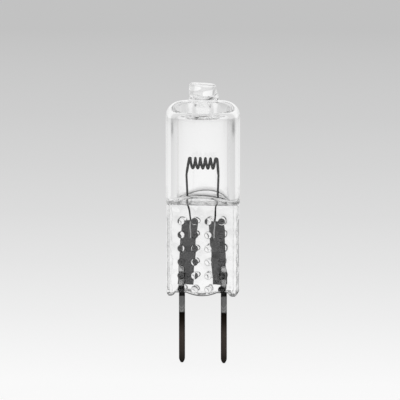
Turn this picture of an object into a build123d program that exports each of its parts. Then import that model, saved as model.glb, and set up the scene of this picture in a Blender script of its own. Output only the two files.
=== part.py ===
from build123d import *
from math import atan, cos, hypot, pi, radians, sin, tan
import os

# Halogen capsule with a two-pin base, all sizes in millimetres.
# +Z runs up the bulb, the pins lie along X and the flat side of the seal faces -Y.
# z = 0 is the plane of the seal's lower edge.

# contact pins
pin_spacing = 6.35
pin_diameter = 0.9
pin_reach = 10.2
pin_nose_length = 0.75
pin_nose_diameter = 0.3
pin_root_length = 4.5
pin_root_diameter = 0.84
pin_flat_depth = 0.09

# sealing foils
foil_width = 2.4
foil_length = 9.5
foil_thickness = 0.04
foil_foot = 1.65
foil_inset = 0.575
foil_left_splay = 4.4
foil_right_splay = 3.5

# filament wire
wire_diameter = 0.28
coil_pitch = 0.78
coil_turns = 5
coil_diameter = 1.7
coil_height = 20.0
coil_yaw = 6.0
leg_crown_reach = 0.5
leg_crown_round = 0.4
leg_kink_height = 18.3
leg_kink_spread = 2.53
leg_neck_height = 14.6
leg_neck_spread = 2.31
leg_bend_rise = 0.25
leg_bend_radius = 0.8
leg_weld_spread = 1.81
leg_weld_length = 2.5
leg_flat_depth = 0.03

# quartz tube, dome and exhaust tip
tube_diameter = 11.1
tube_wall = 1.55
dome_height = 29.2
dome_corner = 2.3
dome_thickness = 1.75
cavity_corner = 0.8
tip_diameter = 4.1
tip_height = 2.63
tip_slant = 3.5
tip_edge = 0.4
tip_fillet = 0.5
channel_diameter = 2.8
channel_mouth_round = 0.3
channel_height = 2.4
plug_sag = 0.9

# press seal
seal_height = 13.71
seal_width = 10.6
web_thickness = 3.3
rail_thickness = 3.5
rail_width = 0.35
rail_flank = 0.2
rail_round = 0.25
shoulder_rise = 1.67
shoulder_wall = 0.82
valley_round = 0.5
foot_round = 0.3
foot_drop = 0.06
lobe_rise = 0.5
lobe_gap = 1.75

# pressed dots on both faces of the seal
dot_columns = 4
dot_rows = 6
dot_pitch = 2.04
dot_diameter = 1.04
dot_height = 0.26
dot_foot = 1.06

pin_r = pin_diameter / 2
pin_x = pin_spacing / 2
foil_front = pin_root_diameter / 2 - pin_flat_depth
wire_r = wire_diameter / 2
coil_r = coil_diameter / 2
coil_length = coil_turns * coil_pitch
tube_r = tube_diameter / 2
cavity_r = tube_r - tube_wall
tip_r = tip_diameter / 2
tip_top = dome_height + tip_height
web_half = web_thickness / 2
rail_half = rail_thickness / 2
seal_half = seal_width / 2
shoulder_slope = shoulder_rise / (tube_r - web_half)
cavity_top = dome_height - dome_thickness
channel_r = channel_diameter / 2
plug_rim = cavity_top + channel_height
dot_sphere_r = ((dot_diameter / 2) ** 2 + dot_height**2) / (2 * dot_height)


def foil_plane(side, depth):
    """Plane of a foil's outline, seen from the front, with its local Y running up the foil."""
    tilt = radians(foil_left_splay if side < 0 else foil_right_splay)
    middle = foil_foot + foil_length / 2
    across = side * (pin_x - foil_inset - foil_length / 2 * tan(tilt))
    return Plane((across, depth, middle), x_dir=(cos(tilt), 0, side * sin(tilt)), z_dir=(0, -1, 0))


def make_foil(side, label):
    """Thin molybdenum strip behind the pin's root and the filament's leg."""
    with BuildPart() as foil:
        with BuildSketch(foil_plane(side, foil_front)):
            Rectangle(foil_width, foil_length)
        extrude(amount=-foil_thickness)
    foil.part.label = label
    return foil.part


def make_pin(side, label):
    """Pin with a pointed nose, a straight contact shank and a tapered root with a weld flat for the foil."""
    axis_plane = Plane((side * pin_x, 0, 0), x_dir=(1, 0, 0), z_dir=(0, -1, 0))
    nose_top = pin_nose_length - pin_reach
    with BuildPart() as pin:
        with BuildSketch(axis_plane):
            with BuildLine():
                Line((0, -pin_reach), (pin_nose_diameter / 2, -pin_reach))
                TangentArc((pin_r, nose_top), (pin_nose_diameter / 2, -pin_reach), tangent=(0, -1))
                Polyline(
                    (pin_r, nose_top),
                    (pin_r, 0),
                    (pin_root_diameter / 2, pin_root_length),
                    (0, pin_root_length),
                    (0, -pin_reach),
                )
            make_face()
        revolve(axis=Axis(axis_plane.origin, (0, 0, 1)))
        with BuildSketch(foil_plane(side, foil_front)):
            Rectangle(2 * foil_width, foil_length)
        extrude(amount=-pin_diameter, mode=Mode.SUBTRACT)
    pin.part.label = label
    return pin.part


foil_left = make_foil(-1, "foil_left")
foil_right = make_foil(1, "foil_right")
pin_left = make_pin(-1, "pin_left")
pin_right = make_pin(1, "pin_right")


def leg_points(side):
    """Corners of a leg from its weld on the foil to the top of the coil's end turn, on the helix's tangent."""
    depth = foil_front - wire_r + leg_flat_depth
    foil_top = foil_foot + foil_length
    bend_z = foil_top + leg_bend_rise
    coil_top = coil_height + coil_r
    turn_lead = coil_pitch / (2 * pi)
    reach = leg_crown_reach / hypot(turn_lead, coil_r)
    coil_end = Vector(side * coil_length / 2, 0, coil_top).rotate(Axis.Z, -coil_yaw)
    crown_step = Vector(side * reach * turn_lead, -side * reach * coil_r, 0).rotate(Axis.Z, -coil_yaw)
    crown = coil_end + crown_step
    neck_share = (leg_neck_height - bend_z) / (leg_kink_height - bend_z)
    return [
        (side * leg_weld_spread, depth, foil_top - leg_weld_length),
        (side * leg_weld_spread, depth, bend_z),
        (side * leg_neck_spread, depth + neck_share * (crown.Y - depth), leg_neck_height),
        (side * leg_kink_spread, crown.Y, leg_kink_height),
        crown,
        coil_end,
    ]


with BuildPart() as filament:
    for leg_side in (-1, 1):
        with BuildLine() as leg_path:
            FilletPolyline(*leg_points(leg_side), radius=3 * [leg_bend_radius] + [leg_crown_round])
        with BuildSketch(Plane(leg_path.line @ 0, z_dir=leg_path.line % 0)):
            Circle(wire_r)
        sweep(path=leg_path.line)
    # the coil starts and ends at the top, and its axis is turned a little from the plane of the pins
    with BuildLine() as coil_path:
        coil_start = (-coil_length / 2, 0, coil_height)
        level_coil = Helix(coil_pitch, coil_length, coil_r, coil_start, (1, 0, 0), mode=Mode.PRIVATE)
        add(level_coil.rotate(Axis.Z, -coil_yaw))
    with BuildSketch(Plane(coil_path.line @ 0, z_dir=coil_path.line % 0)):
        Circle(wire_r)
    sweep(path=coil_path.line, is_frenet=True)
    # weld flats where the legs lie on the foils
    for leg_side in (-1, 1):
        with BuildSketch(foil_plane(leg_side, foil_front)):
            Rectangle(foil_width, foil_length)
        extrude(amount=-wire_diameter, mode=Mode.SUBTRACT)
filament.part.label = "filament"


with BuildPart() as seal:
    # cross-section left by the press jaws: a flat web between two thicker edge rails
    rail_inner = seal_half - rail_width
    with BuildSketch(Plane.XY.offset(-lobe_rise)) as section:
        with BuildLine():
            Polyline(
                (rail_inner - rail_flank, web_half),
                (rail_inner, rail_half),
                (seal_half, rail_half),
                (seal_half, -rail_half),
                (rail_inner, -rail_half),
                (rail_inner - rail_flank, -web_half),
                (rail_flank - rail_inner, -web_half),
                (-rail_inner, -rail_half),
                (-seal_half, -rail_half),
                (-seal_half, rail_half),
                (-rail_inner, rail_half),
                (rail_flank - rail_inner, web_half),
                close=True,
            )
        make_face()
        corners = section.vertices().sort_by(Axis.X)
        fillet(corners[:2] + corners[-2:], rail_round)
    extrude(amount=lobe_rise + seal_height)
    # lower edge, seen from the front: three rounded lobes with a gap for each pin
    lobe_outer = pin_x + lobe_gap / 2
    lobe_inner = pin_x - lobe_gap / 2
    with BuildSketch(Plane.XZ.offset(-rail_thickness)):
        with BuildLine():
            ThreePointArc((-lobe_inner, lobe_rise), (0, 0), (lobe_inner, lobe_rise))
            for lobe_side in (-1, 1):
                Line((lobe_side * lobe_inner, lobe_rise), (lobe_side * lobe_outer, lobe_rise))
                ThreePointArc(
                    (lobe_side * lobe_outer, lobe_rise),
                    (lobe_side * (lobe_outer + seal_half) / 2, 0),
                    (lobe_side * seal_half, lobe_rise),
                )
            Polyline(
                (seal_half, lobe_rise),
                (seal_width, lobe_rise),
                (seal_width, tube_r + seal_height),
                (-seal_width, tube_r + seal_height),
                (-seal_width, lobe_rise),
                (-seal_half, lobe_rise),
            )
        make_face()
    extrude(amount=2 * rail_thickness, mode=Mode.INTERSECT)
    # lower edge, seen from the side: rounded front and back
    with BuildSketch(Plane.YZ.offset(-seal_width)) as side_outline:
        with Locations((0, seal_height - foot_drop)):
            Rectangle(rail_thickness, 2 * seal_height)
        fillet(side_outline.vertices().sort_by(Axis.Z)[:2], foot_round)
    extrude(amount=2 * seal_width, mode=Mode.INTERSECT)
    # dots in a square grid on both faces, with each sphere's poles in the face
    dot_depth = web_half + dot_height - dot_sphere_r
    dot_middle = dot_foot + (dot_rows - 1) * dot_pitch / 2
    for face in (-1, 1):
        with Locations(Plane((0, face * dot_depth, dot_middle), x_dir=(1, 0, 0), z_dir=(0, face, 0))):
            with GridLocations(dot_pitch, dot_pitch, dot_columns, dot_rows):
                Sphere(dot_sphere_r, rotation=(90, 0, 0))


with BuildPart() as cavity:
    with BuildSketch(Plane.XZ):
        with BuildLine():
            FilletPolyline(
                (0, seal_height),
                (cavity_r, seal_height),
                (cavity_r, cavity_top),
                (channel_r, cavity_top),
                (channel_r, plug_rim),
                radius=[0, cavity_corner, channel_mouth_round],
            )
            TangentArc((0, plug_rim - plug_sag), (channel_r, plug_rim), tangent=(1, 0))
            Line((0, plug_rim - plug_sag), (0, seal_height))
        make_face()
    revolve(axis=Axis.Z)
    # the floor is a shallow valley along the seal, with the shoulder's slope on both sides
    valley_z = seal_height - web_half * shoulder_slope + shoulder_wall / cos(atan(shoulder_slope))
    valley_edge_z = valley_z + tube_r * shoulder_slope
    with BuildSketch(Plane.YZ.offset(-tube_diameter)):
        with BuildLine():
            FilletPolyline(
                (-tube_r, tip_top),
                (-tube_r, valley_edge_z),
                (0, valley_z),
                (tube_r, valley_edge_z),
                (tube_r, tip_top),
                radius=[0, valley_round, 0],
            )
            Line((tube_r, tip_top), (-tube_r, tip_top))
        make_face()
    extrude(amount=2 * tube_diameter, mode=Mode.INTERSECT)


with BuildPart() as quartz_envelope:
    tip_blank = tip_top + tip_diameter
    with BuildSketch(Plane.XZ):
        with BuildLine():
            FilletPolyline(
                (0, seal_height),
                (tube_r, seal_height),
                (tube_r, dome_height),
                (tip_r, dome_height),
                (tip_r, tip_blank),
                (0, tip_blank),
                radius=[0, dome_corner, tip_fillet, 0],
            )
            Line((0, tip_blank), (0, seal_height))
        make_face()
    revolve(axis=Axis.Z)
    # the tip was burnt off slightly out of level
    slant = radians(tip_slant)
    split(bisect_by=Plane((0, 0, tip_top), z_dir=(sin(slant), 0, cos(slant))), keep=Keep.BOTTOM)
    fillet(quartz_envelope.edges().sort_by(Axis.Z)[-1], tip_edge)
    # the press jaws slope in from the tube to the web, front and back
    jaw_reach = tube_diameter
    jaw_z = seal_height + (jaw_reach - web_half) * shoulder_slope
    with BuildSketch(Plane.YZ.offset(-tube_diameter)):
        with BuildLine():
            Polyline(
                (web_half, seal_height),
                (jaw_reach, jaw_z),
                (jaw_reach, tip_blank),
                (-jaw_reach, tip_blank),
                (-jaw_reach, jaw_z),
                (-web_half, seal_height),
                close=True,
            )
        make_face()
    extrude(amount=2 * tube_diameter, mode=Mode.INTERSECT)
    add(seal.part)
    add(cavity.part, mode=Mode.SUBTRACT)
    for inner in (foil_left, foil_right, pin_left, pin_right, filament.part):
        add(inner, mode=Mode.SUBTRACT)
quartz_envelope.part.label = "quartz_envelope"

os.makedirs("parts", exist_ok=True)
for node in (quartz_envelope.part, filament.part, foil_left, foil_right, pin_left, pin_right):
    export_step(node, f"parts/{node.label}.step")
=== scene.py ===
import bpy
import numpy as np
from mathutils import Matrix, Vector


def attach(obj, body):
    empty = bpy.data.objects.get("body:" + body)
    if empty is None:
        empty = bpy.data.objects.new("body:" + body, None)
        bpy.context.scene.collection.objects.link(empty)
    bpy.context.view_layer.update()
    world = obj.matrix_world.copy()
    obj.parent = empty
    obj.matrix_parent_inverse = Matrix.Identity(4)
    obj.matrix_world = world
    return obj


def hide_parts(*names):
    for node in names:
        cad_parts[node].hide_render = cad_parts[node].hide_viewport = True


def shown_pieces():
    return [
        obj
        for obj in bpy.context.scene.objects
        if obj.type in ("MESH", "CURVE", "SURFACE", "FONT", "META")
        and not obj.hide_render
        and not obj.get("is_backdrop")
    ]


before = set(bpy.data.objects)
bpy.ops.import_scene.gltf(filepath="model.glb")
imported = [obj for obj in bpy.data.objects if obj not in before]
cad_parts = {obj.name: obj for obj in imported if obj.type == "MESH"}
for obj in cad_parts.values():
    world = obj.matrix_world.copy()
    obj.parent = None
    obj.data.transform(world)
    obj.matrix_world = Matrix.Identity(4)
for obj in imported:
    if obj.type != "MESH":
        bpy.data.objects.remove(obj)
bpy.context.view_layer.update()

# Quartz envelope: one piece of fused quartz tube, closed at the top where the exhaust stem was burnt off
# and pressed flat at the bottom while hot. The jaws leave a web with two rails and a grid of small dots
# on each face, and the gas space stays open above. Sizes are in millimetres.
MM = 0.001
TUBE_R = 5.55
DOME_TOP, DOME_CORNER = 29.2, 2.3
TIP_R, TIP_TOP, TIP_FILLET, TIP_EDGE, TIP_SLANT = 2.05, 31.82, 0.5, 0.4, 0.0612
TIP_FLARE, TIP_LUMP = 0.25, 0.055
TIP_RIPPLES = ((2.0, 1.1, 1.3), (3.0, 0.4, -2.1))
SEAL_TOP, SEAL_HALF, SEAL_BLEND = 13.71, 5.3, 0.35
WEB_HALF, WEB_MARGIN = 1.65, 0.1
RAIL_HALF, RAIL_INNER, RAIL_FLANK, RAIL_ROUND = 1.75, 4.95, 0.2, 0.25
SHOULDER_LOW, SHOULDER_SLOPE, SHOULDER_BLEND, SHOULDER_CREASE = 13.2, 0.428, 0.3, 0.05
PRESS_WAVE = 0.03
PRESS_RIPPLES = ((1.9, 1.1, 1.0), (2.7, -1.7, 2.0), (0.7, 3.1, -1.0))
FOOT_ROUND, FOOT_STEP = 0.3, 0.05
LOBE_INNER, LOBE_OUTER, LOBE_RISE, LOBE_FADE, LOBE_CLEAR = 2.3, 4.05, 0.5, 1.4, 0.15
DOT_PITCH, DOT_FOOT, DOT_RADIUS, DOT_HEIGHT = 2.04, 1.06, 0.52, 0.3
DOT_COLUMNS, DOT_ROWS = 4, 6
DOT_RINGS = np.array([0.13, 0.25, 0.36, 0.44, 0.49, 0.513, 0.52, 0.535, 0.57, 0.66, 0.8])


def smooth(t):
    """Ease curve 3t^2 - 2t^3, held at 0 and 1 outside its range."""
    t = np.clip(t, 0.0, 1.0)
    return t * t * (3.0 - 2.0 * t)


def soft_min(a, b, width):
    """The smaller of a and b, with the crease between them rounded over the given width."""
    return 0.5 * (a + b - np.sqrt((a - b) ** 2 + width**2))


def spread(edges, steps):
    """Values through the given edges, with the given number of even steps between each two."""
    runs = [np.linspace(a, b, n, endpoint=False) for a, b, n in zip(edges[:-1], edges[1:], steps)]
    return np.concatenate(runs + [edges[-1:]])


def ripple(first, second, third, weights):
    """Unevenness of hot glass: sine waves added up, each over its own weighted sum of three quantities."""
    return sum(np.sin(a * first + b * second + c * third) for a, b, c in weights)


def bell(gap, width):
    """Strength of a fine painted shade line over the distance from its middle: exp(-(gap / width)^2)."""
    return np.exp(-((gap / width) ** 2))


def dashes(along, mean, depth, rate, wander=0.0, wander_rate=0.0, drift=0.0, start=0.0):
    """Uneven strength along a crease: a sine about its mean, its phase pushed to and fro by a second sine."""
    return mean + depth * np.sin(rate * along + wander * np.sin(wander_rate * along + drift) + start)


def grid_quads(rows, columns, turned=False):
    """Quads between neighbouring rows of a grid whose last column joins its first."""
    index = np.arange(rows * columns).reshape(rows, columns)
    index = np.hstack([index, index[:, :1]])
    a, b, c, d = index[:-1, :-1], index[:-1, 1:], index[1:, 1:], index[1:, :-1]
    quads = np.stack([a, b, c, d], axis=-1).reshape(-1, 4)
    return quads[:, ::-1] if turned else quads


def fan(ring, pole, turned=False):
    """Triangles from each edge of a closed ring to one pole point."""
    tris = np.stack([ring, np.roll(ring, -1), np.full_like(ring, pole)], axis=-1)
    return tris[:, ::-1] if turned else tris


def make_piece(name, points, faces, material):
    """Smooth mesh object at the origin, from points in millimetres and lists of quads or triangles."""
    mesh = bpy.data.meshes.new(name)
    mesh.from_pydata((points * MM).tolist(), [], [f for part in faces for f in part.tolist()])
    mesh.polygons.foreach_set("use_smooth", np.ones(len(mesh.polygons), dtype=bool))
    mesh.materials.append(material)
    mesh.update()
    piece = bpy.data.objects.new(name, mesh)
    bpy.context.scene.collection.objects.link(piece)
    return piece


def node_material(name):
    """A new node material, with its node tree, its shader and its Object coordinates."""
    material = bpy.data.materials.new(name)
    material.use_nodes = True
    tree = material.node_tree
    shader = tree.nodes["Principled BSDF"]
    place = tree.nodes.new("ShaderNodeTexCoord").outputs["Object"]
    return material, tree, shader, place


def noise(tree, place, scale, detail=3.0, stretch=(1.0, 1.0, 1.0)):
    """Noise on Object coordinates, stretched along the axes by a Mapping node."""
    mapping = tree.nodes.new("ShaderNodeMapping")
    mapping.inputs["Scale"].default_value = stretch
    tree.links.new(place, mapping.inputs["Vector"])
    texture = tree.nodes.new("ShaderNodeTexNoise")
    texture.inputs["Scale"].default_value = scale
    texture.inputs["Detail"].default_value = detail
    tree.links.new(mapping.outputs["Vector"], texture.inputs["Vector"])
    return texture.outputs["Fac"]


def ramp(tree, value, stops):
    """Colour ramp over a value, from (position, grey or colour) stops."""
    node = tree.nodes.new("ShaderNodeValToRGB")
    elements = node.color_ramp.elements
    while len(elements) < len(stops):
        elements.new(0.5)
    for element, (position, colour) in zip(elements, stops):
        element.position = position
        element.color = (*colour, 1.0) if isinstance(colour, tuple) else (colour, colour, colour, 1.0)
    tree.links.new(value, node.inputs["Fac"])
    return node.outputs["Color"]


def mix_colours(tree, kind, first, second):
    """Two colours mixed at full strength in the given way, such as MULTIPLY or ADD."""
    node = tree.nodes.new("ShaderNodeMix")
    node.data_type = "RGBA"
    node.blend_type = kind
    node.inputs["Factor"].default_value = 1.0
    tree.links.new(first, node.inputs["A"])
    tree.links.new(second, node.inputs["B"])
    return node.outputs["Result"]


def nearest_dot(x, z):
    """Offsets across and up from the nearest pressed dot's centre."""
    column = np.clip(np.round(x / DOT_PITCH + (DOT_COLUMNS - 1) / 2), 0, DOT_COLUMNS - 1)
    row = np.clip(np.round((z - DOT_FOOT) / DOT_PITCH), 0, DOT_ROWS - 1)
    return x - (column - (DOT_COLUMNS - 1) / 2) * DOT_PITCH, z - (DOT_FOOT + row * DOT_PITCH)


def dot_relief(x, z):
    """Height of the nearest pressed dot at (x, z): the part of a sphere that stands out of the face."""
    across, up = nearest_dot(x, z)
    ball = (DOT_RADIUS**2 + DOT_HEIGHT**2) / (2 * DOT_HEIGHT)
    return np.maximum(np.sqrt(np.maximum(ball**2 - across**2 - up**2, 0.0)) - ball + DOT_HEIGHT, 0.0)


def round_rings(x, z):
    """Grid lines drawn round each dot: squares about its centre become circles of the same reach."""
    across, up = nearest_dot(x, z)
    reach = np.maximum(np.abs(across), np.abs(up))
    share = np.minimum(np.abs(across), np.abs(up)) / np.maximum(reach, 1e-9) * np.pi / 4
    wide = np.abs(across) >= np.abs(up)
    circle_x = reach * np.where(wide, np.cos(share), np.sin(share)) * np.sign(across)
    circle_z = reach * np.where(wide, np.sin(share), np.cos(share)) * np.sign(up)
    hold = 1.0 - smooth((reach - DOT_RINGS[-3]) / (DOT_RINGS[-1] - DOT_RINGS[-3]))
    return hold * (circle_x - across), hold * (circle_z - up)


def lobe_edge(x):
    """Height of the seal's lower edge across it: three circular lobes with a level gap at each pin."""
    across = np.abs(x)
    middle = (LOBE_INNER**2 + LOBE_RISE**2) / (2 * LOBE_RISE)
    half = (SEAL_HALF - LOBE_OUTER) / 2
    outer = (half**2 + LOBE_RISE**2) / (2 * LOBE_RISE)
    centre = middle - np.sqrt(np.maximum(middle**2 - across**2, 0.0))
    side = outer - np.sqrt(np.maximum(outer**2 - (across - LOBE_OUTER - half) ** 2, 0.0))
    edge = np.where(across < LOBE_INNER, centre, np.where(across < LOBE_OUTER, LOBE_RISE, side))
    return np.minimum(edge, LOBE_RISE)


# columns of the seal's section, from the middle of the left side along the front to the right side
web_edge = RAIL_INNER - RAIL_FLANK
corner_turn = np.linspace(0.0, np.pi / 2, 7)
side_y = -np.linspace(0.0, RAIL_HALF - RAIL_ROUND, 6)[:-1]
rail_x = np.linspace(SEAL_HALF - RAIL_ROUND, web_edge - WEB_MARGIN, 9)[1:-1]
left_x = np.concatenate([
    np.full(side_y.shape, -SEAL_HALF),
    -SEAL_HALF + RAIL_ROUND * (1 - np.cos(corner_turn)),
    -rail_x,
])
left_y = np.concatenate([
    side_y,
    -(RAIL_HALF - RAIL_ROUND) - RAIL_ROUND * np.sin(corner_turn),
    np.full(rail_x.shape, -RAIL_HALF),
])
dot_x = (np.arange(DOT_COLUMNS) - (DOT_COLUMNS - 1) / 2) * DOT_PITCH
dot_lines = np.concatenate([-DOT_RINGS[::-1], [0.0], DOT_RINGS])
web_x = np.concatenate([
    spread([WEB_MARGIN - web_edge, dot_x[0] - DOT_RINGS[-1]], [5])[:-1],
    (dot_x[:, None] + np.append(dot_lines, 0.5 * DOT_PITCH)).ravel()[:-1],
    spread([dot_x[-1] + DOT_RINGS[-1], web_edge - WEB_MARGIN], [5])[1:],
])
front_x = np.concatenate([left_x, web_x, -left_x[::-1]])
front_y = np.concatenate([left_y, np.full(web_x.shape, -RAIL_HALF), left_y[::-1]])
in_flank = np.abs(front_x) < SEAL_HALF - RAIL_ROUND
flank = smooth((np.abs(front_x) - web_edge) / RAIL_FLANK)
front_y = np.where(in_flank, -WEB_HALF - (RAIL_HALF - WEB_HALF) * flank, front_y)
seal_x = np.concatenate([front_x, front_x[-2:0:-1]])
seal_y = np.concatenate([front_y, -front_y[-2:0:-1]])
columns, front_columns = len(seal_x), len(front_x)

# the same columns on the round tube: the web spreads over 56 degrees each way, the rails over the rest
WEB_REACH, RAIL_SEAM = 4.6, 0.03
left_run = np.concatenate([[0.0], np.cumsum(np.hypot(np.diff(left_x), np.diff(left_y)))])
web_turn = np.arcsin(WEB_REACH / TUBE_R)
left_turn = -np.pi / 2 + (np.pi / 2 - web_turn) * left_run / (left_run[-1] + RAIL_SEAM)
turn = np.concatenate([left_turn, np.arcsin(web_x / web_x[-1] * WEB_REACH / TUBE_R), -left_turn[::-1]])
tube_x = np.sin(np.concatenate([turn, turn[-2:0:-1]]))
tube_y = np.concatenate([-np.cos(turn), np.cos(turn[-2:0:-1])])

# outward normals of the section, for the rounded foot
along_x = np.roll(seal_x, -1) - np.roll(seal_x, 1)
along_y = np.roll(seal_y, -1) - np.roll(seal_y, 1)
along = np.hypot(along_x, along_y)
normal_x, normal_y = along_y / along, -along_x / along

# foot rows: the section shrinks by the round's inset towards the lobed lower edge
foot_turn = np.linspace(0.0, np.pi / 2, 8)[:, None]
inset = FOOT_ROUND * (1 - np.sin(foot_turn))
foot_x = seal_x - inset * normal_x
foot_y = seal_y - inset * normal_y
foot_z = lobe_edge(seal_x) + FOOT_ROUND * (1 - np.cos(foot_turn))
foot = np.stack([foot_x, foot_y, foot_z + 0.0 * foot_x], axis=-1)

# body rows: seal, shoulder and tube, with the section eased from the flat seal into the round tube
BODY_EDGES = [SHOULDER_LOW, 15.6, 17.0, 20.0, 26.0, DOME_TOP - DOME_CORNER]
BODY_STEPS = [48, 10, 5, 6, 9]
dot_z = DOT_FOOT + np.arange(DOT_ROWS) * DOT_PITCH
dot_rows_z = (dot_z[:, None] + np.append(dot_lines, 0.5 * DOT_PITCH)).ravel()[:-1]
rows = np.concatenate([
    [FOOT_ROUND + FOOT_STEP],
    dot_rows_z[dot_rows_z > FOOT_ROUND + 2 * FOOT_STEP],
    spread([dot_rows_z[-1], SHOULDER_LOW], [9])[1:-1],
    spread(BODY_EDGES, BODY_STEPS),
])[:, None]
lift = lobe_edge(seal_x) * (1 - smooth(rows / LOBE_FADE))
across_web = np.abs(seal_x) < web_edge
on_web = across_web & (rows < SHOULDER_LOW)
ring_x, ring_z = round_rings(seal_x, rows)
round_free = on_web * (1 - smooth(lift / LOBE_CLEAR))
row_z = rows + lift + ring_z * round_free
flat_x = seal_x + ring_x * round_free
relief = dot_relief(flat_x, row_z) * on_web
face = np.sign(seal_y)
flat_y = seal_y + face * (relief + PRESS_WAVE * ripple(flat_x, row_z, face, PRESS_RIPPLES) * across_web)
above_seal = rows - SEAL_TOP
jaw = WEB_HALF + 0.5 * (above_seal + np.sqrt(above_seal**2 + SHOULDER_CREASE**2)) / SHOULDER_SLOPE
round_x = TUBE_R * tube_x
round_y = np.sign(tube_y) * soft_min(TUBE_R * np.abs(tube_y), jaw, SHOULDER_BLEND)
ease = smooth((above_seal + SEAL_BLEND) / (2 * SEAL_BLEND))
body = np.stack([flat_x + (round_x - flat_x) * ease, flat_y + (round_y - flat_y) * ease, row_z], axis=-1)

# dome rows: corner, top, fillet and the slanted tip, as a profile turned about the axis
quarter = np.linspace(0.0, np.pi / 2, 14)
dome_flat = np.linspace(TUBE_R - DOME_CORNER, TIP_R + TIP_FILLET, 8)[1:-1]
tip_wall = np.linspace(0.0, 1.0, 10)[1:]
tip_flat = np.linspace(TIP_R - TIP_EDGE, 0.0, 10)[1:-1]
tip_base = DOME_TOP + TIP_FILLET
tip_rim = TIP_TOP - TIP_EDGE
profile_r = np.concatenate([
    TUBE_R - DOME_CORNER * (1 - np.cos(quarter[1:])),
    dome_flat,
    TIP_R + TIP_FILLET * (1 - np.sin(quarter)),
    np.full(tip_wall.shape, TIP_R),
    TIP_R - TIP_EDGE * (1 - np.cos(quarter[1:])),
    tip_flat,
])[:, None]
profile_z = np.concatenate([
    DOME_TOP - DOME_CORNER * (1 - np.sin(quarter[1:])),
    np.full(dome_flat.shape, DOME_TOP),
    DOME_TOP + TIP_FILLET * (1 - np.cos(quarter)),
    tip_base + (tip_rim - tip_base) * tip_wall,
    tip_rim + TIP_EDGE * np.sin(quarter[1:]),
    np.full(tip_flat.shape, TIP_TOP),
])[:, None]
lean = smooth((profile_z - tip_base) / (tip_rim - tip_base)) * TIP_SLANT
stub = smooth((profile_z - DOME_TOP) / TIP_FILLET)
flare = TIP_FLARE * np.maximum(tube_x, 0.0) ** 2 * smooth((tip_rim - profile_z) / (tip_rim - tip_base))
lump = TIP_LUMP * ripple(np.arctan2(tube_y, tube_x), 1.0, profile_z, TIP_RIPPLES)
tip_grow = 1.0 + stub * (flare + lump) / TIP_R
dome_x, dome_y = profile_r * tip_grow * tube_x, profile_r * tip_grow * tube_y
dome = np.stack([dome_x, dome_y, profile_z - lean * dome_x], axis=-1)

outer = np.concatenate([foot, body, dome]).reshape(-1, 3)

# painted shade on the pressed creases: grey painted by position, standing in for the dark lines that
# refraction draws, at the foot's edge, the rims of the dots, the upper edge of the jaws, the rails' flanks,
# the shoulder's ledge and front band, and a streak down each side of the tube's front
FOOT_SHADE, FOOT_SHADE_TURN, FOOT_CLEAR_TURN = 0.98, 1.15, 1.5
RIM_SHADE, RIM_WIDTH = 0.6, 0.045
JAW_SHADE, JAW_WIDTH, JAW_DASHES = 0.5, 0.07, (0.6, 0.4, 5.3, 2.0, 1.7)
FLANK_SHADE, FLANK_WIDTH, FLANK_DASHES = 0.45, 0.06, (0.7, 0.3, 7.0)
LEDGE_Z, LEDGE_BOW, LEDGE_WIDTH, LEDGE_DASHES = 14.33, 0.12, 0.07, (0.83, 0.15, 4.1, 1.5, 1.3)
BAND_Z, BAND_SHADE, BAND_WIDTH, BAND_DASHES = 14.1, 0.95, 0.3, (0.7, 0.3, 2.6, 1.4, 1.9)
BAND_DRIFT, BAND_START = 3.0, -0.9
STREAK_X, STREAK_SHIFT, STREAK_Z = 4.5, 0.45, 25.4
STREAK_SHADE, STREAK_WIDTH, STREAK_HEIGHT = 0.9, 0.2, 1.1
foot_painted_shade = np.interp(foot_turn, [FOOT_SHADE_TURN, FOOT_CLEAR_TURN], [FOOT_SHADE, 0.0]) + 0.0 * foot_x
rim_gap = np.hypot(*nearest_dot(flat_x, row_z)) - DOT_RADIUS
rim_painted_shade = RIM_SHADE * bell(rim_gap, RIM_WIDTH) * on_web
jaw_painted_shade = JAW_SHADE * bell(above_seal, JAW_WIDTH) * dashes(seal_x, *JAW_DASHES)
flank_gap = np.abs(seal_x) - web_edge - 0.5 * RAIL_FLANK
flank_painted_shade = FLANK_SHADE * bell(flank_gap, FLANK_WIDTH) * (rows < SEAL_TOP) * dashes(rows, *FLANK_DASHES)
ledge_z = LEDGE_Z + LEDGE_BOW * (1.0 - (seal_x / SEAL_HALF) ** 2)
ledge_painted_shade = bell(rows - ledge_z, LEDGE_WIDTH) * dashes(seal_x, *LEDGE_DASHES)
in_front = tube_y < 0.0
band_patch = dashes(seal_x, *BAND_DASHES, BAND_DRIFT * rows, BAND_START)
band_painted_shade = BAND_SHADE * bell(rows - BAND_Z, BAND_WIDTH) * band_patch * in_front
streak_across = bell(np.abs(round_x - STREAK_SHIFT) - STREAK_X, STREAK_WIDTH)
streak_painted_shade = STREAK_SHADE * streak_across * bell(rows - STREAK_Z, STREAK_HEIGHT) * in_front
body_painted_shade = np.maximum.reduce([rim_painted_shade, jaw_painted_shade, flank_painted_shade, ledge_painted_shade, band_painted_shade, streak_painted_shade])
outer_painted_shade = np.concatenate([foot_painted_shade, body_painted_shade, np.zeros(dome_x.shape)]).ravel()
outer_rows = len(outer) // columns
outer_pole = np.array([[0.0, 0.0, TIP_TOP]])
last_ring = np.arange(columns) + (outer_rows - 1) * columns
front = np.arange(front_columns)
back = (columns - front) % columns
foot_quads = np.stack([front[1:-2], back[1:-2], back[2:-1], front[2:-1]], axis=-1)
foot_ends = np.array([[front[0], back[1], front[1]], [front[-2], back[-2], front[-1]]])

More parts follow.
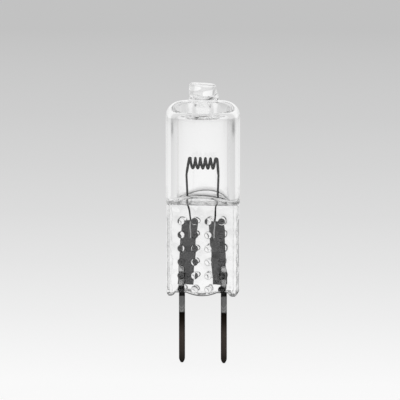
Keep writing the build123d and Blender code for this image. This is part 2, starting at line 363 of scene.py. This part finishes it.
# gas space: valley floor, wall, ceiling sunk round the exhaust channel, and the drop of quartz that closed it
CAVITY_R, CAVITY_TOP, CAVITY_CORNER, CAVITY_COLUMNS = 4.0, 26.5, 0.8, 96
VALLEY_Z, VALLEY_SOFT, VALLEY_EDGE = 13.82, 0.25, 0.22
CEILING_RISE, CEILING_RUN = 1.0, 2.3
CHANNEL_R, CHANNEL_NECK, CHANNEL_MOUTH = 1.25, 1.3, 0.3
PLUG_RIM, PLUG_SAG = 30.05, 1.05
NECK_LOW, NECK_RUN, NECK_LUMP = 1.0, 0.8, 0.12
NECK_RIPPLES = ((2.0, 0.6, 1.9), (3.0, 0.0, -2.3))
swing = np.linspace(0.0, 2 * np.pi, CAVITY_COLUMNS, endpoint=False)
swing_x, swing_y = np.cos(swing), np.sin(swing)


def valley_floor(y):
    """Floor height at depth y: two slopes that meet in a rounded valley along the seal."""
    return VALLEY_Z + SHOULDER_SLOPE * np.sqrt(y**2 + VALLEY_SOFT**2)


floor_flat = np.linspace(0.0, CAVITY_R - VALLEY_EDGE, 24)[1:]
floor_r = np.concatenate([floor_flat, CAVITY_R - VALLEY_EDGE * (1 - np.sin(quarter[1:]))])[:, None]
floor_lift = np.concatenate([np.zeros(floor_flat.shape), VALLEY_EDGE * (1 - np.cos(quarter[1:]))])[:, None]
floor_z = valley_floor(floor_r * swing_y) + floor_lift
wall_share = np.linspace(0.0, 1.0, 24)[1:-1, None]
wall_foot = floor_z[-1]
wall_z = wall_foot + (CAVITY_TOP - CAVITY_CORNER - wall_foot) * wall_share
ceiling_flat = np.linspace(CAVITY_R - CAVITY_CORNER, CHANNEL_R + CHANNEL_MOUTH, 10)[1:-1]
plug_r = (CHANNEL_NECK**2 + PLUG_SAG**2) / (2 * PLUG_SAG)
plug_turn = np.linspace(np.arcsin(CHANNEL_NECK / plug_r), 0.0, 14)[1:-1]
vault_r = np.concatenate([
    CAVITY_R - CAVITY_CORNER * (1 - np.cos(quarter)),
    ceiling_flat,
    CHANNEL_R + CHANNEL_MOUTH * (1 - np.sin(quarter)),
    CHANNEL_R + (CHANNEL_NECK - CHANNEL_R) * smooth(np.linspace(0.0, 1.0, 9)[1:]),
    plug_r * np.sin(plug_turn),
])[:, None]
vault_z = np.concatenate([
    CAVITY_TOP - CAVITY_CORNER * (1 - np.sin(quarter)),
    np.full(ceiling_flat.shape, CAVITY_TOP),
    CAVITY_TOP + CHANNEL_MOUTH * (1 - np.cos(quarter)),
    np.linspace(CAVITY_TOP + CHANNEL_MOUTH, PLUG_RIM, 9)[1:],
    PLUG_RIM - PLUG_SAG + plug_r * (1 - np.cos(plug_turn)),
])[:, None]
vault_z = vault_z + CEILING_RISE * smooth((vault_r - CHANNEL_R - CHANNEL_MOUTH) / CEILING_RUN)
cavity_r = np.concatenate([floor_r, np.full(wall_share.shape, CAVITY_R), vault_r])
cavity_z = np.concatenate([floor_z, wall_z, vault_z + 0.0 * swing])
in_neck = smooth((cavity_z - CAVITY_TOP - NECK_LOW) / NECK_RUN) * (cavity_r < CHANNEL_R + CHANNEL_MOUTH)
cavity_r = cavity_r * (1.0 + NECK_LUMP * in_neck * ripple(swing, 1.0, cavity_z, NECK_RIPPLES))
cavity = np.stack([cavity_r * swing_x, cavity_r * swing_y, cavity_z], axis=-1).reshape(-1, 3)
cavity_rows = len(cavity) // CAVITY_COLUMNS

# painted shade inside: grey painted by position, standing in for dark refraction lines, at the floor's rim
# and valley, a broken ring on the ceiling, and the drop's sides and underside
FLOOR_SHADE, FLOOR_INSET, FLOOR_WIDTH = 0.95, 0.08, 0.1
VALLEY_SHADE, VALLEY_WIDTH, VALLEY_FADE = 0.9, 0.35, 0.4
CEILING_RING, CEILING_WIDTH, CEILING_DROP = 2.3, 0.2, 2.0
CEILING_DASHES = (0.55, 0.42, 7.0, 2.0, 2.0)
PLUG_SHADE, PLUG_WIDTH, PLUG_HEIGHT = 0.97, 0.7, 0.35
floor_painted_shade = np.maximum(
    FLOOR_SHADE * bell(floor_r - CAVITY_R + FLOOR_INSET, FLOOR_WIDTH) + 0.0 * swing,
    VALLEY_SHADE * bell(floor_r * swing_y, VALLEY_WIDTH) * smooth((CAVITY_R - floor_r) / VALLEY_FADE),
)
on_ceiling = vault_z < PLUG_RIM - CEILING_DROP
ceiling_painted_shade = bell(vault_r - CEILING_RING, CEILING_WIDTH) * on_ceiling * dashes(swing, *CEILING_DASHES)
plug_side = bell(vault_z - PLUG_RIM, PLUG_HEIGHT) * np.abs(swing_x) ** 3
on_plug = np.arange(len(vault_z))[:, None] >= len(vault_z) - len(plug_turn)
plug_low = PLUG_SHADE * bell(vault_r * swing_y, PLUG_WIDTH) * on_plug
vault_painted_shade = np.maximum.reduce([ceiling_painted_shade, plug_side, plug_low])
cavity_painted_shade = np.concatenate([floor_painted_shade, np.zeros(wall_z.shape), vault_painted_shade]).ravel()
cavity_poles = np.array([[0.0, 0.0, valley_floor(0.0)], [0.0, 0.0, PLUG_RIM - PLUG_SAG]])
cavity_start = len(outer) + 1
cavity_end = cavity_start + len(cavity)
cavity_ring = np.arange(CAVITY_COLUMNS) + cavity_start
plug_ring = cavity_ring + (cavity_rows - 1) * CAVITY_COLUMNS

quartz, quartz_tree, quartz_shader, quartz_place = node_material("fused_quartz_clear")
quartz_shader.inputs["Transmission Weight"].default_value = 1.0
quartz_shader.inputs["IOR"].default_value = 1.46
quartz_shader.inputs["Roughness"].default_value = 0.0
drawn_streaks = noise(quartz_tree, quartz_place, scale=260.0, detail=2.0, stretch=(1.0, 1.0, 0.15))
clear = ramp(quartz_tree, drawn_streaks, [(0.3, 0.985), (0.7, 1.0)])
# painted shade: the crease attribute darkens the quartz's colour and its specular tint, standing in for the
# dark lines that refraction draws
crease = quartz_tree.nodes.new("ShaderNodeAttribute")
crease.attribute_name = "painted_crease_shade"
painted_crease_tone = ramp(quartz_tree, crease.outputs["Fac"], [(0.0, 1.0), (1.0, 0.01)])
quartz_streaks_and_painted_shade = mix_colours(quartz_tree, "MULTIPLY", clear, painted_crease_tone)
quartz_tree.links.new(quartz_streaks_and_painted_shade, quartz_shader.inputs["Base Color"])
quartz_tree.links.new(painted_crease_tone, quartz_shader.inputs["Specular Tint"])

envelope = make_piece(
    "envelope_quartz",
    np.concatenate([outer, outer_pole, cavity, cavity_poles]),
    [
        grid_quads(outer_rows, columns),
        fan(last_ring, len(outer)),
        foot_quads,
        foot_ends,
        grid_quads(cavity_rows, CAVITY_COLUMNS, turned=True) + cavity_start,
        fan(cavity_ring, cavity_end),
        fan(plug_ring, cavity_end + 1, turned=True),
    ],
    quartz,
)
# painted crease shade for each point, worked out above from the shape
painted_shade_layer = envelope.data.attributes.new("painted_crease_shade", "FLOAT", "POINT")
painted_shade_values = np.concatenate([outer_painted_shade, [0.0], cavity_painted_shade, [VALLEY_SHADE, PLUG_SHADE]])
painted_shade_layer.data.foreach_set("value", painted_shade_values)
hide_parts("quartz_envelope")
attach(envelope, "root")

# Filament: one tungsten wire, wound into a short open coil across the bulb, with both ends drawn down as
# legs into the seal, where they are pinched and welded to the foils.
COIL_WIRE_R, LEG_WIRE_R, LEAD_R = 0.2, 0.16, 0.125
COIL_TAPER, LEAD_TAPER, LEAD_TOP, WIRE_STEP = 0.8, 0.6, 14.2, 0.05
COIL_R, COIL_PITCH, COIL_TURNS, COIL_Z = 0.74, 0.78, 5, 19.9
COIL_HALF = COIL_PITCH * COIL_TURNS / 2
COIL_SKEW, COIL_PINCH = -0.13, 0.02
COIL_YAW = np.radians(-6.0)
COIL_START, COIL_START_ROUND = np.radians(40.0), 0.09
CROWN_REACH, CROWN_BACK, CROWN_ROUND = 0.24, 0.1, 0.15
KINK_Z, NECK_Z, LEG_BEND = 18.15, 14.6, 0.8
KINK_LEFT, NECK_LEFT, KINK_RIGHT, NECK_RIGHT = -2.6, -2.42, 2.36, 2.22
WELD_X, WELD_Y, WELD_Z, BEND_Z = 1.81, 0.24, 8.65, 11.4


def rounded_path(corners, radius, steps=10):
    """Points along straight runs whose inner corners become circular arcs, each of its own radius."""
    corners = np.asarray(corners, dtype=float)
    radius = np.asarray(radius)[:, None]
    here = corners[1:-1]
    before = corners[:-2] - here
    after = corners[2:] - here
    before /= np.linalg.norm(before, axis=1, keepdims=True)
    after /= np.linalg.norm(after, axis=1, keepdims=True)
    half = 0.5 * np.arccos(np.clip(np.sum(before * after, axis=1), -1.0, 1.0))[:, None]
    middle = before + after
    middle /= np.linalg.norm(middle, axis=1, keepdims=True)
    centre = here + middle * radius / np.sin(half)
    swing_half = np.pi / 2 - half
    share = np.linspace(-1.0, 1.0, steps)[None, :, None]
    sideways = after - before
    sideways /= np.linalg.norm(sideways, axis=1, keepdims=True)
    angle = share * swing_half[:, None, :]
    bow = -middle[:, None] * np.cos(angle) + sideways[:, None] * np.sin(angle)
    arcs = centre[:, None] + radius[:, None] * bow
    return np.concatenate([corners[:1], arcs.reshape(-1, 3), corners[-1:]])


def refine(path, spacing):
    """The same path with points at even distances along it."""
    run = np.concatenate([[0.0], np.cumsum(np.linalg.norm(np.diff(path, axis=0), axis=1))])
    even = np.linspace(0.0, run[-1], int(run[-1] / spacing) + 2)
    return np.stack([np.interp(even, run, path[:, k]) for k in range(3)], axis=-1)


def tube(path, radius, sides=16):
    """Round tube of a varying radius carried along a path, closed at both ends, squared from the X axis."""
    ahead = np.gradient(path, axis=0)
    ahead /= np.linalg.norm(ahead, axis=1, keepdims=True)
    across = np.array([1.0, 0.0, 0.0]) - ahead[:, :1] * ahead
    across /= np.linalg.norm(across, axis=1, keepdims=True)
    third = np.cross(ahead, across)
    angle = np.linspace(0.0, 2 * np.pi, sides, endpoint=False)[None, :, None]
    spokes = across[:, None] * np.cos(angle) + third[:, None] * np.sin(angle)
    rings = path[:, None] + radius[:, None, None] * spokes
    count = len(path) * sides
    points = np.concatenate([rings.reshape(-1, 3), path[:1], path[-1:]])
    first = np.arange(sides)
    ends = [fan(first, count, turned=True), fan(first + count - sides, count + 1)]
    return points, [grid_quads(len(path), sides)] + ends


def turned(point):
    """A point of the coil, turned with its axis from the seal's plane."""
    x, y, z = point
    return np.array([
        x * np.cos(COIL_YAW) - y * np.sin(COIL_YAW),
        x * np.sin(COIL_YAW) + y * np.cos(COIL_YAW),
        z,
    ])


def coil_sway(angle):
    """How far a turn leans back along the coil's axis at an angle from its top, as two sine waves."""
    return COIL_SKEW * np.sin(angle) + COIL_PINCH * np.sin(2.0 * angle)


def leg_path(side, kink_x, neck_x):
    """A leg from its weld on the foil up over the crown of the coil's end turn to the coil."""
    crown_z = COIL_Z + COIL_R
    crown = turned((side * (COIL_HALF + CROWN_REACH), -side * CROWN_BACK, crown_z))
    neck_y = WELD_Y + (crown[1] - WELD_Y) * (NECK_Z - BEND_Z) / (KINK_Z - BEND_Z)
    coil_join = turned((
        side * (COIL_HALF - COIL_START / (2 * np.pi) * COIL_PITCH + coil_sway(COIL_START)),
        side * COIL_R * np.sin(COIL_START),
        COIL_Z + COIL_R * np.cos(COIL_START),
    ))
    corners = [
        (side * WELD_X, WELD_Y, WELD_Z),
        (side * WELD_X, WELD_Y, BEND_Z),
        (neck_x, neck_y, NECK_Z),
        (kink_x, crown[1], KINK_Z),
        crown,
        turned((side * COIL_HALF, 0.0, crown_z)),
        coil_join,
    ]
    bends = [LEG_BEND, LEG_BEND, LEG_BEND, CROWN_ROUND, COIL_START_ROUND]
    return refine(rounded_path(corners, bends), WIRE_STEP)


def along_axis(tree, place, axis):
    """One axis of the Object coordinates."""
    node = tree.nodes.new("ShaderNodeSeparateXYZ")
    tree.links.new(place, node.inputs["Vector"])
    return node.outputs[axis]


def share_of(tree, value, low, high):
    """How far a value has come from low to high, held at 0 and 1."""
    node = tree.nodes.new("ShaderNodeMapRange")
    node.inputs["From Min"].default_value = low
    node.inputs["From Max"].default_value = high
    tree.links.new(value, node.inputs["Value"])
    return node.outputs["Result"]


def bump(tree, shader, height, strength, distance):
    """Fine relief on the shader's normal from a height value."""
    node = tree.nodes.new("ShaderNodeBump")
    node.inputs["Strength"].default_value = strength
    node.inputs["Distance"].default_value = distance
    tree.links.new(height, node.inputs["Height"])
    tree.links.new(node.outputs["Normal"], shader.inputs["Normal"])


# the coil starts at the top of its left end, comes down in front and ends at the top on the right
coil_angle = np.linspace(COIL_START, 2 * np.pi * COIL_TURNS - COIL_START, 360)
coil_path = turned((
    -COIL_HALF + coil_angle / (2 * np.pi) * COIL_PITCH - coil_sway(coil_angle),
    -COIL_R * np.sin(coil_angle),
    COIL_Z + COIL_R * np.cos(coil_angle),
)).T
left_leg = leg_path(-1, KINK_LEFT, NECK_LEFT)
right_leg = leg_path(1, KINK_RIGHT, NECK_RIGHT)
wire_path = np.concatenate([left_leg[:-1], coil_path, right_leg[-2::-1]])
wire_radius = LEAD_R + (LEG_WIRE_R - LEAD_R) * smooth((wire_path[:, 2] - LEAD_TOP) / LEAD_TAPER)
wire_radius += (COIL_WIRE_R - LEG_WIRE_R) * smooth((wire_path[:, 2] - KINK_Z) / COIL_TAPER)
wire_points, wire_faces = tube(wire_path, wire_radius)

# painted shade: a dark edge tint for the tungsten and the pins, which darkens their grazing reflections
PAINTED_EDGE_SHADE = (0.15, 0.15, 0.15, 1.0)
tungsten, tungsten_tree, tungsten_shader, tungsten_place = node_material("tungsten_drawn")
tungsten_shader.inputs["Metallic"].default_value = 1.0
tungsten_shader.inputs["Specular Tint"].default_value = PAINTED_EDGE_SHADE
wire_z = along_axis(tungsten_tree, tungsten_place, "Z")
wire_height = share_of(tungsten_tree, wire_z, WELD_Z * MM, NECK_Z * MM)
# painted shade: the coil and the legs above the seal are near-black, standing in for the wire's shade against
# the backlight, while the leads on the foils keep a pale tungsten grey
wire_grey_and_painted_shade = ramp(tungsten_tree, wire_height, [(0.40, 0.62), (0.45, 0.03), (1.0, 0.012)])
tungsten_tree.links.new(wire_grey_and_painted_shade, tungsten_shader.inputs["Base Color"])
drawn = noise(tungsten_tree, tungsten_place, scale=9000.0)
drawn_gloss = ramp(tungsten_tree, drawn, [(0.2, 0.3), (0.8, 0.45)])
tungsten_tree.links.new(drawn_gloss, tungsten_shader.inputs["Roughness"])
bump(tungsten_tree, tungsten_shader, drawn, strength=0.3, distance=0.00002)

filament = make_piece("filament_wire", wire_points, wire_faces, tungsten)
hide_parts("filament")
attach(filament, "root")

# Sealing foils: two thin strips of molybdenum, etched to a satin grey, which carry the current through the
# pressed quartz. Each lies behind its pin's root and its leg of the filament, welded to both.
FOIL_FRONT, FOIL_BACK, FOIL_LOW, FOIL_HIGH, FOIL_ROWS = 0.33, 0.37, 1.65, 11.27, 41

foil, foil_tree, foil_shader, foil_place = node_material("molybdenum_satin")
foil_shader.inputs["Metallic"].default_value = 1.0
etched = noise(foil_tree, foil_place, scale=4000.0, detail=4.0)
etched_tone = ramp(foil_tree, etched, [(0.3, (0.15, 0.15, 0.153)), (0.7, (0.21, 0.21, 0.21))])
foil_tree.links.new(etched_tone, foil_shader.inputs["Base Color"])
etched_gloss = ramp(foil_tree, etched, [(0.2, 0.45), (0.8, 0.6)])
foil_tree.links.new(etched_gloss, foil_shader.inputs["Roughness"])
bump(foil_tree, foil_shader, etched, strength=0.2, distance=0.00001)

foil_z = np.linspace(FOIL_LOW, FOIL_HIGH, FOIL_ROWS)[:, None]
foil_up = foil_z - FOIL_LOW
foil_across = np.array([-1.0, 1.0, 1.0, -1.0])
foil_y = np.array([FOIL_FRONT, FOIL_FRONT, FOIL_BACK, FOIL_BACK])
for foil_name, foil_x, foil_half, foil_lean, foil_taper in (
    ("foil_left", -2.6, 1.2, 0.0664, 0.0),
    ("foil_right", 2.65, 1.06, -0.062, 0.012),
):
    foil_grid = np.stack([
        foil_x + foil_lean * foil_up + (foil_half + foil_taper * foil_up) * foil_across,
        foil_y + 0.0 * foil_z,
        foil_z + 0.0 * foil_across,
    ], axis=-1).reshape(-1, 3)
    foil_first = np.arange(len(foil_across))
    foil_last = foil_first + len(foil_grid) - len(foil_across)
    strip = make_piece(
        foil_name + "_strip",
        foil_grid,
        [grid_quads(FOIL_ROWS, len(foil_across)), foil_first[None, ::-1], foil_last[None]],
        foil,
    )
    strip.data.polygons.foreach_set("use_smooth", np.zeros(len(strip.data.polygons), dtype=bool))
    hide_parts(foil_name)
    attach(strip, "root")

# Contact pins: molybdenum rod, turned to a blunt point, welded to the foils and pressed into the quartz.
# Bright grey near the seal and browned by heat and handling below, with painted shade and a painted highlight
# where they run into the quartz.
PIN_X, PIN_R, PIN_REACH, PIN_COLUMNS = 3.175, 0.45, 10.2, 40
PIN_NOSE, PIN_NOSE_R = 0.75, 0.15
PIN_ROOT_Z, PIN_ROOT_R, PIN_ROOT_ROUND = 4.5, 0.42, 0.25
DRIP_REACH, DRIP_BOW = 3.0, 0.45

nose_share = np.linspace(0.0, 1.0, 12)
nose_arc = (PIN_NOSE**2 + (PIN_R - PIN_NOSE_R) ** 2) / (2 * (PIN_R - PIN_NOSE_R))
root_turn = np.linspace(0.0, np.pi / 2, 8)[1:]
pin_profile_z = np.concatenate([
    -PIN_REACH + PIN_NOSE * nose_share,
    np.linspace(-PIN_REACH + PIN_NOSE, 0.0, 30)[1:],
    np.linspace(0.0, PIN_ROOT_Z - PIN_ROOT_ROUND, 12)[1:],
    PIN_ROOT_Z - PIN_ROOT_ROUND * (1 - np.sin(root_turn)),
])
below = np.maximum(-PIN_REACH + PIN_NOSE - pin_profile_z, 0.0)
pin_profile_r = PIN_R - nose_arc + np.sqrt(nose_arc**2 - below**2)
pin_profile_r -= (PIN_R - PIN_ROOT_R) * np.clip(pin_profile_z / PIN_ROOT_Z, 0.0, 1.0)
pin_profile_r[-len(root_turn):] -= PIN_ROOT_ROUND * (1 - np.cos(root_turn))
pin_swing = np.linspace(0.0, 2 * np.pi, PIN_COLUMNS, endpoint=False)


def calculate(tree, operation, *values):
    """Math node on sockets or plain numbers, in the order of its inputs."""
    node = tree.nodes.new("ShaderNodeMath")
    node.operation = operation
    for socket, value in zip(node.inputs, values):
        if isinstance(value, float):
            socket.default_value = value
        else:
            tree.links.new(value, socket)
    return node.outputs["Value"]


pin_metal, pin_tree, pin_shader, pin_place = node_material("molybdenum_pin_oxidised_and_painted_light")
pin_shader.inputs["Metallic"].default_value = 1.0
pin_shader.inputs["Specular Tint"].default_value = PAINTED_EDGE_SHADE
pin_z = along_axis(pin_tree, pin_place, "Z")
pin_height = share_of(pin_tree, pin_z, -PIN_REACH * MM, PIN_ROOT_Z * MM)
# the grey length and the browned point are the pin's own colours; where the pin enters the quartz the bands
# are painted light and shade: near-black as painted shadow at the glass's edge and behind the two lowest
# dots, and pale on the top end as a painted reflection
pin_tone_and_painted_light = ramp(pin_tree, pin_height, [
    (0.0, (0.012, 0.011, 0.010)),
    (0.12, (0.05, 0.042, 0.037)),
    (0.3, (0.062, 0.051, 0.044)),
    (0.43, (0.018, 0.014, 0.011)),
    (0.518, (0.006, 0.005, 0.004)),
    (0.524, (0.20, 0.20, 0.196)),
    (0.684, 0.17),
    (0.689, 0.012),
    (0.776, 0.02),
    (0.803, 0.35),
    (0.857, 0.3),
    (0.871, 0.08),
    (0.932, 0.1),
    (0.946, 0.5),
    (1.0, 0.6),
])

# pale drip marks on the grey length, bowed by the square of the distance from the rod's middle
pin_aside = calculate(pin_tree, "ABSOLUTE", along_axis(pin_tree, pin_place, "X"))
pin_off = calculate(pin_tree, "SUBTRACT", pin_aside, PIN_X * MM)
pin_square = calculate(pin_tree, "MULTIPLY", pin_off, pin_off)
pin_bowed = calculate(pin_tree, "MULTIPLY_ADD", pin_square, -DRIP_BOW / (PIN_R**2 * MM), pin_z)
pin_drip = share_of(pin_tree, pin_bowed, -DRIP_REACH * MM, 0.0)
pin_marks = ramp(pin_tree, pin_drip, [
    (0.0, 0.0), (0.16, 0.0), (0.2, 0.12), (0.26, 0.02), (0.33, 0.02), (0.37, 0.1), (0.44, 0.0), (1.0, 0.0),
])
pin_tree.links.new(mix_colours(pin_tree, "ADD", pin_tone_and_painted_light, pin_marks), pin_shader.inputs["Base Color"])
pin_gloss = ramp(pin_tree, pin_height, [(0.0, 0.4), (0.7, 0.42), (0.71, 0.2), (1.0, 0.18)])
pin_tree.links.new(pin_gloss, pin_shader.inputs["Roughness"])
pin_grain = noise(pin_tree, pin_place, scale=3000.0, detail=4.0, stretch=(1.0, 1.0, 0.2))
bump(pin_tree, pin_shader, pin_grain, strength=0.25, distance=0.00002)

for pin_name, pin_side in (("pin_left", -1), ("pin_right", 1)):
    pin_grid = np.stack([
        pin_side * PIN_X + pin_profile_r[:, None] * np.cos(pin_swing),
        pin_profile_r[:, None] * np.sin(pin_swing),
        pin_profile_z[:, None] + 0.0 * pin_swing,
    ], axis=-1).reshape(-1, 3)
    pin_poles = np.array([[pin_side * PIN_X, 0.0, -PIN_REACH], [pin_side * PIN_X, 0.0, PIN_ROOT_Z]])
    pin_first = np.arange(PIN_COLUMNS)
    pin_last = pin_first + len(pin_grid) - PIN_COLUMNS
    pin = make_piece(
        pin_name + "_rod",
        np.concatenate([pin_grid, pin_poles]),
        [
            grid_quads(len(pin_profile_z), PIN_COLUMNS),
            fan(pin_first, len(pin_grid), turned=True),
            fan(pin_last, len(pin_grid) + 1),
        ],
        pin_metal,
    )
    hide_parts(pin_name)
    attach(pin, "root")

# Table: a broad, pale, matt disc at the height of the pins' points, mostly lit from within so that it fades
# softly from near white in front to grey at the back.
TABLE_COLUMNS = 64
TABLE_RINGS = np.array([50.0, 200.0, 600.0, 1200.0, 2500.0])[:, None]
TABLE_NEAR, TABLE_FAR, TABLE_GLOW = -0.02, 0.92, 0.9

table_swing = np.linspace(0.0, 2 * np.pi, TABLE_COLUMNS, endpoint=False)
table_grid = np.stack([
    TABLE_RINGS * np.cos(table_swing),
    TABLE_RINGS * np.sin(table_swing),
    np.full((len(TABLE_RINGS), TABLE_COLUMNS), -PIN_REACH),
], axis=-1).reshape(-1, 3)
table_material, table_tree, table_shader, table_place = node_material("table_pale")
table = make_piece(
    "table_top",
    np.concatenate([table_grid, [[0.0, 0.0, -PIN_REACH]]]),
    [
        grid_quads(len(TABLE_RINGS), TABLE_COLUMNS, turned=True),
        fan(np.arange(TABLE_COLUMNS), len(table_grid)),
    ],
    table_material,
)
table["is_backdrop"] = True
table_depth = share_of(table_tree, along_axis(table_tree, table_place, "Y"), TABLE_NEAR, TABLE_FAR)
table_tone = ramp(table_tree, table_depth, [
    (0.0, 0.99), (0.082, 0.89), (0.16, 0.815), (0.256, 0.745), (0.38, 0.69), (0.543, 0.64), (1.0, 0.56),
])
table_glow = table_tree.nodes.new("ShaderNodeEmission")
table_tree.links.new(table_tone, table_glow.inputs["Color"])
table_mix = table_tree.nodes.new("ShaderNodeMixShader")
table_mix.inputs["Fac"].default_value = TABLE_GLOW
table_shader.inputs["Roughness"].default_value = 0.9
table_tree.links.new(table_tone, table_shader.inputs["Base Color"])
table_tree.links.new(table_shader.outputs["BSDF"], table_mix.inputs[1])
table_tree.links.new(table_glow.outputs["Emission"], table_mix.inputs[2])
table_tree.links.new(table_mix.outputs["Shader"], table_tree.nodes["Material Output"].inputs["Surface"])

# Room: a plain grey surround, dark in front and below and paler behind and above, which the quartz bends
# and reflects.
ROOM_PALE_WAY = (0.0, 0.75, 0.66)

world = bpy.data.worlds.new("studio_room")
world.use_nodes = True
world_tree = world.node_tree
world_way = world_tree.nodes.new("ShaderNodeTexCoord")
world_lean = world_tree.nodes.new("ShaderNodeVectorMath")
world_lean.operation = "DOT_PRODUCT"
world_lean.inputs[1].default_value = ROOM_PALE_WAY
world_tree.links.new(world_way.outputs["Generated"], world_lean.inputs[0])
world_back = share_of(world_tree, world_lean.outputs["Value"], -1.0, 1.0)
world_tone = ramp(world_tree, world_back, [(0.1, 0.10), (0.35, 0.2), (0.55, 0.4), (0.8, 0.75)])
world_tree.links.new(world_tone, world_tree.nodes["Background"].inputs["Color"])
bpy.context.scene.world = world

# Panels: two soft lamps close behind the bulb, a tall one over a low dimmer one, which shine through the
# quartz, and a narrow one in front that lights the pins alone. Sizes are in metres.
PANEL_X, PANEL_Y, PANEL_WIDTH, PANEL_SPREAD = -0.0105, 0.0692, 0.075, 100.0


def soft_panel(name, place, aim, width, height, radiance, spread_angle=180.0):
    """Rectangular soft lamp that faces a point, its power four times its brightness times its area."""
    lamp = bpy.data.lights.new(name, "AREA")
    lamp.shape = "RECTANGLE"
    lamp.size, lamp.size_y = width, height
    lamp.energy = radiance * 4.0 * width * height
    lamp.spread = np.radians(spread_angle)
    panel = bpy.data.objects.new(name, lamp)
    panel.location = place
    panel.rotation_euler = (Vector(aim) - Vector(place)).to_track_quat("-Z", "Y").to_euler()
    panel.visible_camera = False
    bpy.context.scene.collection.objects.link(panel)
    return panel


lit_bulb = bpy.data.collections.new("lit_bulb")
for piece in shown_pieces():
    lit_bulb.objects.link(piece)
for panel_name, panel_z, panel_height, panel_radiance in (
    ("panel_high", 0.108, 0.2, 0.058),
    ("panel_low", -0.002, 0.02, 0.03),
):
    panel_back = soft_panel(
        panel_name, (PANEL_X, PANEL_Y, panel_z), (0.0, 0.0, panel_z),
        PANEL_WIDTH, panel_height, panel_radiance, PANEL_SPREAD,
    )
    panel_back.light_linking.receiver_collection = lit_bulb
lit_pins = bpy.data.collections.new("lit_pins")
for pin_name in ("pin_left_rod", "pin_right_rod"):
    lit_pins.objects.link(bpy.data.objects[pin_name])
panel_front = soft_panel(
    "panel_front", place=(0.12, -0.3, 0.0), aim=(0.0, 0.0, -0.005), width=0.05, height=0.3, radiance=1.2,
)
panel_front.light_linking.receiver_collection = lit_pins

# Camera: a long lens from the photograph's side, turned a little to the bulb's right and raised, with the
# plain view settings and enough bounces for the light to find its way out of the quartz.
VIEW_AZIMUTH, VIEW_ELEVATION = np.radians(8.6), np.radians(5.5)
VIEW_ASIDE, VIEW_HEIGHT = -0.435, 14.28
CAMERA_LENS, CAMERA_DISTANCE = 360.0, 0.6
LIGHT_BOUNCES = 64

camera_data = bpy.data.cameras.new("camera_photo")
camera_data.lens = CAMERA_LENS
camera = bpy.data.objects.new("camera_photo", camera_data)
bpy.context.scene.collection.objects.link(camera)
view_right = Vector((np.cos(VIEW_AZIMUTH), np.sin(VIEW_AZIMUTH), 0.0))
view_back = Vector((
    np.sin(VIEW_AZIMUTH) * np.cos(VIEW_ELEVATION),
    -np.cos(VIEW_AZIMUTH) * np.cos(VIEW_ELEVATION),
    np.sin(VIEW_ELEVATION),
))
view_up = view_back.cross(view_right)
view_target = view_right * (VIEW_ASIDE * MM) + view_up * (VIEW_HEIGHT * MM)
camera.location = view_target + view_back * CAMERA_DISTANCE
camera.rotation_euler = (-view_back).to_track_quat("-Z", "Y").to_euler()
bpy.context.scene.camera = camera
bpy.context.scene.view_settings.view_transform = "Standard"
light_paths = bpy.context.scene.cycles
light_paths.max_bounces = LIGHT_BOUNCES
light_paths.glossy_bounces = LIGHT_BOUNCES
light_paths.transmission_bounces = LIGHT_BOUNCES
